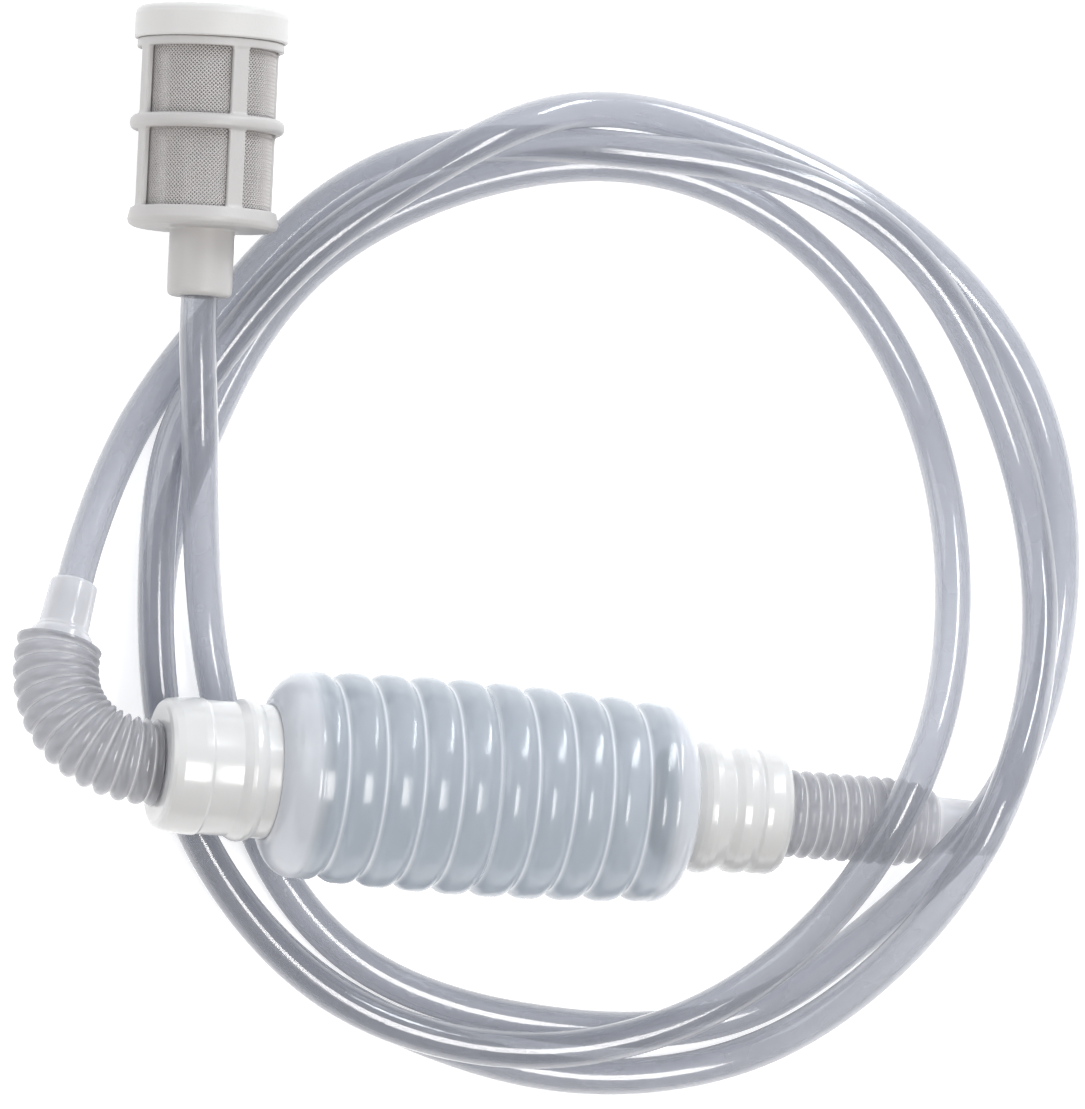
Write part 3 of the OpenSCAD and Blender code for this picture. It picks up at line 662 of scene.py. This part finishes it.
def build_bellows_half(name, end):
    outer, inner = (half_wall(wall, end) for wall in bellows_walls())
    outline = outer + inner[::-1]
    marks = {"groove": [p[2] for p in outline], "thin": [thin_at(p[1]) for p in outline]}
    piece = turn_on_pump(name, [p[:2] for p in outline], 144, [BELLOWS, BELLOWS_IN],
                         [0] * len(outer) + [1] * len(inner), marks)
    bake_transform(piece)
    return piece


inlet_half = build_bellows_half("bellows_inlet_half", -1)
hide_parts("bellows")
build_bellows_half("bellows_outlet_half", 1)

# ---- couplings -------------------------------------------------------------
# (radius, station in the long pattern)
INLET_NECK_OUTLINE = [
    (14.25, -62.5), (16.6, -60.5), (16.6, -46.5), (17.6, -46.5), (18, -47.2), (18, -59.2),
    (18.35, -59.6), (18.35, -60.1), (18, -60.5), (18, -62.25),
    (18.1, -62.8), (18.1, -66.3), (18.7, -67.4), (19.2, -68.7),
    (19.35, -70), (19.2, -71.2), (18.7, -72.4), (18.1, -73.6), (18.1, -82.2),
    (18.5, -82.9), (18.5, -85), (18.1, -91), (17.7, -93.2), (16.9, -94.3),
    (15.6, -INLET_NECK_END), (9.05, -INLET_NECK_END), (9.05, -83.2), (11.2, -83.2),
    (11.2, -92), (14.25, -92)]
OUTLET_NECK_OUTLINE = [
    (14.25, 55.5), (15.6, 55.5), (16, 56.2), (16, 59.2), (16.35, 59.6), (16.35, 60.1),
    (16, 60.5), (16, 62.25), (16.3, 62.8), (17.1, 64), (17.8, 65.6), (18.1, 67.3),
    (17.8, 69.1), (17.1, 70.8), (16.4, 72.3), (16.2, 73.2), (16.5, 74.2), (17.1, 75.6),
    (17.4, 77.6), (17.1, 79.6), (16.5, 80.9), (16.3, 81.6), (16.9, 82.4), (17.05, 84),
    (16.95, 87.4), (16.4, 89), (15.4, 90.3), (13.8, OUTLET_NECK_END),
    (9.05, OUTLET_NECK_END), (9.05, 81), (11.2, 81), (11.2, 88.7), (14.25, 88.7)]

for end, outline in (("inlet", INLET_NECK_OUTLINE), ("outlet", OUTLET_NECK_OUTLINE)):
    profile = fillet([(r, s * REACH) for r, s in outline], radius=0.7, steps=5)
    neck = turn_on_pump(end + "_neck", profile, 128, [COUPLING])
    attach(neck, end + "_end")
    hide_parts(end + "_coupling")

# ---- strainer --------------------------------------------------------------
# local frame: z runs from the hose socket (0) to the cap (CAP_TOP)
CAGE_R, CAGE_BORE = 19.8, 18.0
CAP_R, CAP_TOP, CAP_WALL = 20.75, 78.0, 1.8
FLOOR, FLOOR_TOP = 18.2, 23.3
BARS, BAR_PHASE = 4, math.radians(16.5)
# closed outlines of (radius, z)
SOCKET = [(5.05, 0), (7.8, 0), (8.5, 0.5), (8.8, 1.4), (8.8, 19), (4, 19), (4, 15.9), (5.05, 15.9)]
CAGE_FLOOR = [
    (4, FLOOR), (CAGE_R - 1, FLOOR), (CAGE_R + 0.2, FLOOR + 0.7), (CAGE_R + 0.6, FLOOR + 1.9),
    (CAGE_R + 0.3, FLOOR + 3.2), (CAGE_R - 0.1, FLOOR_TOP), (CAGE_BORE, FLOOR_TOP),
    (CAGE_BORE, FLOOR + 2.4), (4, FLOOR + 2.4)]
MIDDLE_BAND = [
    (CAGE_BORE, 44.2), (CAGE_R, 44.2), (CAGE_R + 0.9, 45), (CAGE_R + 1.1, 46.2),
    (CAGE_R + 0.9, 47.4), (CAGE_R, 48.2), (CAGE_BORE, 48.2)]
TOP_BAND = [(CAGE_BORE, 66.4), (CAGE_R, 66.4), (CAGE_R, 68.8), (18.8, 68.8), (18.8, 74.6),
            (CAGE_BORE, 74.6)]
# (radius, z, fillet radius)
CAP_OUTLINE = np.array([
    (0.02, CAP_TOP, 0), (0.3, CAP_TOP, 0), (CAP_R - 4.5, CAP_TOP, 0), (CAP_R - 3, CAP_TOP, 1.0),
    (CAP_R - 1.3, CAP_TOP - 0.4, 1.5), (CAP_R - 0.4, CAP_TOP - 1.2, 1.5),
    (CAP_R, CAP_TOP - 2.6, 1.5), (CAP_R, 69.3, 0.4), (CAP_R - 0.4, 68.9, 0.4),
    (18.85, 68.9, 0.3), (18.85, 74.7, 0.3), (16.9, 74.7, 0.3), (16.9, CAP_TOP - CAP_WALL, 0.3),
    (16.0, CAP_TOP - CAP_WALL, 0), (0.3, CAP_TOP - CAP_WALL, 0), (0.02, CAP_TOP - CAP_WALL, 0)])


def place(points):
    """Strainer-local points to the frame the whole siphon is built in."""
    return STRAINER + np.asarray(points, float) @ STRAINER_TURN.T


def join(parts):
    verts, faces, at = [], [], 0
    for v, f in parts:
        verts.append(v)
        faces.append(f + at)
        at += len(v)
    return np.concatenate(verts), np.concatenate(faces)


def upright_bar(angle, r0, r1, half_width, z0, z1):
    c, s = math.cos(angle), math.sin(angle)
    corners = ((r0, -half_width), (r1, -half_width), (r1, half_width), (r0, half_width))
    points = [(r * c - w * s, r * s + w * c, z) for z in (z0, z1) for r, w in corners]
    faces = [[0, 3, 2, 1], [4, 5, 6, 7], [0, 1, 5, 4], [1, 2, 6, 5], [2, 3, 7, 6], [3, 0, 4, 7]]
    return np.array(points, float), np.array(faces)


def remeshed(name, parts, voxel, rounds, mat):
    """Merges overlapping closed solids into one skin with small soft fillets."""
    raw = make_object(name + "_raw", *join(parts))
    remesh = raw.modifiers.new("remesh", "REMESH")
    remesh.mode = "VOXEL"
    remesh.voxel_size = voxel * MM
    remesh.adaptivity = 0.0
    remesh.use_smooth_shade = True
    smooth = raw.modifiers.new("smooth", "SMOOTH")
    smooth.factor = 0.5
    smooth.iterations = rounds
    depsgraph = bpy.context.evaluated_depsgraph_get()
    mesh = bpy.data.meshes.new_from_object(raw.evaluated_get(depsgraph))
    bpy.data.objects.remove(raw)
    mesh.name = name
    turn = Matrix([list(row) for row in STRAINER_TURN]).to_4x4()
    mesh.transform(Matrix.Translation(Vector(STRAINER * MM)) @ turn)
    mesh.materials.clear()
    mesh.materials.append(mat)
    mesh.polygons.foreach_set("use_smooth", np.ones(len(mesh.polygons), bool))
    return link_object(name, mesh)


def build_cage():
    parts = [turned(SOCKET, 96)]
    parts += [turned(outline, 128) for outline in (CAGE_FLOOR, MIDDLE_BAND, TOP_BAND)]
    parts += [upright_bar(BAR_PHASE + k * 2 * math.pi / BARS, CAGE_BORE, CAGE_R - 0.35,
                          half_width=2.3, z0=FLOOR_TOP - 1.5, z1=67.5) for k in range(BARS)]
    cage = remeshed("strainer_cage_moulded", parts, voxel=0.32, rounds=4, mat=CAGE)
    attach(cage, "strainer")
    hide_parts("strainer_cage")


def build_cap():
    verts, faces = turned(fillet(CAP_OUTLINE[:, :2], CAP_OUTLINE[:, 2], steps=5), 160)
    cap = make_object("strainer_cap_moulded", place(verts), faces, mats=[STRAINER_CAP])
    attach(cap, "strainer_lid")
    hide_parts("strainer_cap")


build_cage()
build_cap()

# ---- strainer net: two families of strands that pass over and under each other ----
NET_R, NET_BOTTOM, NET_TOP = 17.5, 20.9, 74.0
STRANDS, WIRE, LIFT = 104, 0.2, 0.13    # strands per family, wire half-thickness, weave height
NET_STEP = math.pi * NET_R / STRANDS    # height between crossings
CROSSINGS = int((NET_TOP - NET_BOTTOM) / NET_STEP) + 1
# (radius, z)
NET_TOP_DISC = [(17.8, 72.9), (17.8, 74.2), (17.2, 74.2), (0.3, 74.2), (0.02, 74.2),
                (0.02, 73.8), (0.3, 73.8), (17.3, 73.8), (17.3, 72.9)]
NET_BOTTOM_HEM = [(17.8, 20.7), (17.8, 22.0), (17.3, 22.0), (17.3, 20.7)]


def strand(start_angle, sign):
    """A square wire winding up the net, one way or the other by sign."""
    steps = np.arange(CROSSINGS)
    rise = NET_STEP * steps
    angle = start_angle + sign * rise / NET_R
    flat = np.zeros(CROSSINGS)
    up = np.array([0, 0, 1.0])
    radial = np.stack([np.cos(angle), np.sin(angle), flat], 1)
    around = np.stack([-np.sin(angle), np.cos(angle), flat], 1)
    radius = NET_R + sign * LIFT * np.cos(math.pi * steps)
    centres = radial * radius[:, None] + up * (NET_BOTTOM + rise)[:, None]
    across = (around * -sign + up) / math.sqrt(2)
    corners = np.array([[1, 0], [0, 1], [-1, 0], [0, -1]]) * WIRE
    points = (centres[:, None] + corners[None, :, :1] * radial[:, None]
              + corners[None, :, 1:] * across[:, None]).reshape(-1, 3)
    p, q = ring_indices(CROSSINGS - 1, 4)
    e = 4 * (CROSSINGS - 1)
    ends = np.array([[0, 3, 2, 1], [e, e + 1, e + 2, e + 3]])
    if sign > 0:
        return points, np.concatenate([np.stack([p, p + 4, q + 4, q], 1), ends[:, ::-1]])
    return points, np.concatenate([np.stack([p, q, q + 4, p + 4], 1), ends])


def build_net():
    parts = [strand(2 * math.pi * k / STRANDS, sign) for sign in (1, -1) for k in range(STRANDS)]
    parts.append(turned(fillet(NET_TOP_DISC, radius=0.15, steps=2), 96))
    parts.append(turned(fillet(NET_BOTTOM_HEM, radius=0.12, steps=2), 96))
    verts, faces = join(parts)
    net = make_object("strainer_net", place(verts), faces, mats=[NET])
    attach(net, "strainer")
    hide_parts("strainer_mesh")


build_net()

# ---- parts carried over from the CAD ---------------------------------------
for part, mat in (("valve_seat", VALVE), ("ball_cage", VALVE), ("valve_ball", BALL),
                  ("seal", SEAL)):
    for end in ("inlet", "outlet"):
        slots = frame["nodes"][f"{end}_{part}"].data.materials
        slots.clear()
        slots.append(mat)


# ---- floor and world -------------------------------------------------------
def floor_paper():
    m = Nodes(bpy.data.materials.new("floor_paper"))
    grain = m.noise(scale=700.0, detail=4.0, rough=0.6)
    colour = m.mix_colour(grain, (0.875, 0.875, 0.875), (0.90, 0.90, 0.90))
    return m.finish(m.add("BsdfPrincipled", {
        "Roughness": 0.75, "Base Color": colour, "Specular IOR Level": 0.1,
        "Emission Color": WHITE, "Emission Strength": 0.52}))


def build_world():
    """Warm grey towards -y, cool and brighter towards +y."""
    world = bpy.data.worlds.new("studio")
    scene.world = world
    w = Nodes(world, "OutputWorld")
    direction = w.add("TexCoord", output="Generated")
    y = w.add("SeparateXYZ", {0: direction}, output="Y")
    share = w.add("MapRange", {"Value": y, "From Min": -1.0})
    colour = w.ramp(share, [(0.0, (0.58, 0.565, 0.55)), (1.0, (0.87, 0.90, 0.95))], "EASE")
    w.finish(w.add("Background", {"Color": colour, "Strength": 0.76}))


floor_mat = floor_paper()
bpy.ops.mesh.primitive_plane_add(size=8, location=(0, 0, -0.0003))
floor = bpy.context.object
floor.name = "floor"
floor.data.materials.append(floor_mat)
build_world()


# ---- lights, in metres and watts -------------------------------------------
def area_light(name, direction, distance, width, height, power, colour, level=False):
    """A lamp aimed at the origin; a level one keeps its width along the room's x."""
    data = bpy.data.lights.new(name, "AREA")
    data.shape = "RECTANGLE"
    data.size, data.size_y = width, height
    data.energy = power
    data.color = colour
    lamp = link_object(name, data)
    away = Vector(direction).normalized()
    lamp.location = away * distance
    lamp.rotation_mode = "QUATERNION"
    if level:
        y_side = away.cross(Vector((1, 0, 0))).normalized()
        turn = Matrix((y_side.cross(away), y_side, away)).transposed()
        lamp.rotation_quaternion = turn.to_quaternion()
    else:
        lamp.rotation_quaternion = (-away).to_track_quat("-Z", "Y")


area_light("ceiling_light", direction=(0.15, -0.20, 1.0), distance=1.2, width=0.30, height=0.60,
           power=7.5, colour=(1.0, 0.985, 0.97), level=True)
area_light("window_light", direction=(0.44, 0.72, 0.46), distance=1.4, width=0.20, height=0.95,
           power=11.0, colour=(0.93, 0.97, 1.0))
area_light("wall_light", direction=(-0.85, 0.25, 0.50), distance=1.3, width=0.80, height=0.80,
           power=3.4, colour=(0.98, 0.985, 1.0))

# ---- camera, looking down from high above ----------------------------------
CAMERA_TILT, CAMERA_ROLL = math.radians(10), math.radians(4.7)
AIM_RIGHT, AIM_UP = 17.83784, 63.02703  # aim point from the pump's middle, in the view
VIEW_SPAN = 299.72973                   # length seen along the picture's longer side
CAMERA_DISTANCE = 6.0                   # metres from the aim point
SPAN_DEPTH = 0.022                      # metres beyond the aim point where VIEW_SPAN holds
SENSOR = 36.0


def build_camera():
    data = bpy.data.cameras.new("camera")
    camera = link_object("camera", data)
    scene.camera = camera
    cos_tilt, sin_tilt = math.cos(CAMERA_TILT), math.sin(CAMERA_TILT)
    cos_roll, sin_roll = math.cos(CAMERA_ROLL), math.sin(CAMERA_ROLL)
    right = Vector((cos_tilt * cos_roll, sin_roll, sin_tilt * cos_roll))
    up = Vector((-cos_tilt * sin_roll, cos_roll, -sin_tilt * sin_roll))
    back = Vector((-sin_tilt, 0, cos_tilt))
    aim = Vector(PUMP) + right * AIM_RIGHT + up * AIM_UP
    camera.location = aim * MM + back * CAMERA_DISTANCE
    camera.rotation_mode = "QUATERNION"
    camera.rotation_quaternion = Matrix((right, up, back)).transposed().to_quaternion()
    data.sensor_width = SENSOR
    data.lens = SENSOR * (CAMERA_DISTANCE + SPAN_DEPTH) / (VIEW_SPAN * MM)
    data.clip_start, data.clip_end = 0.1, 60.0


build_camera()
scene.view_settings.view_transform = "Standard"
scene.cycles.transparent_max_bounces = 48
scene.cycles.max_bounces = 14
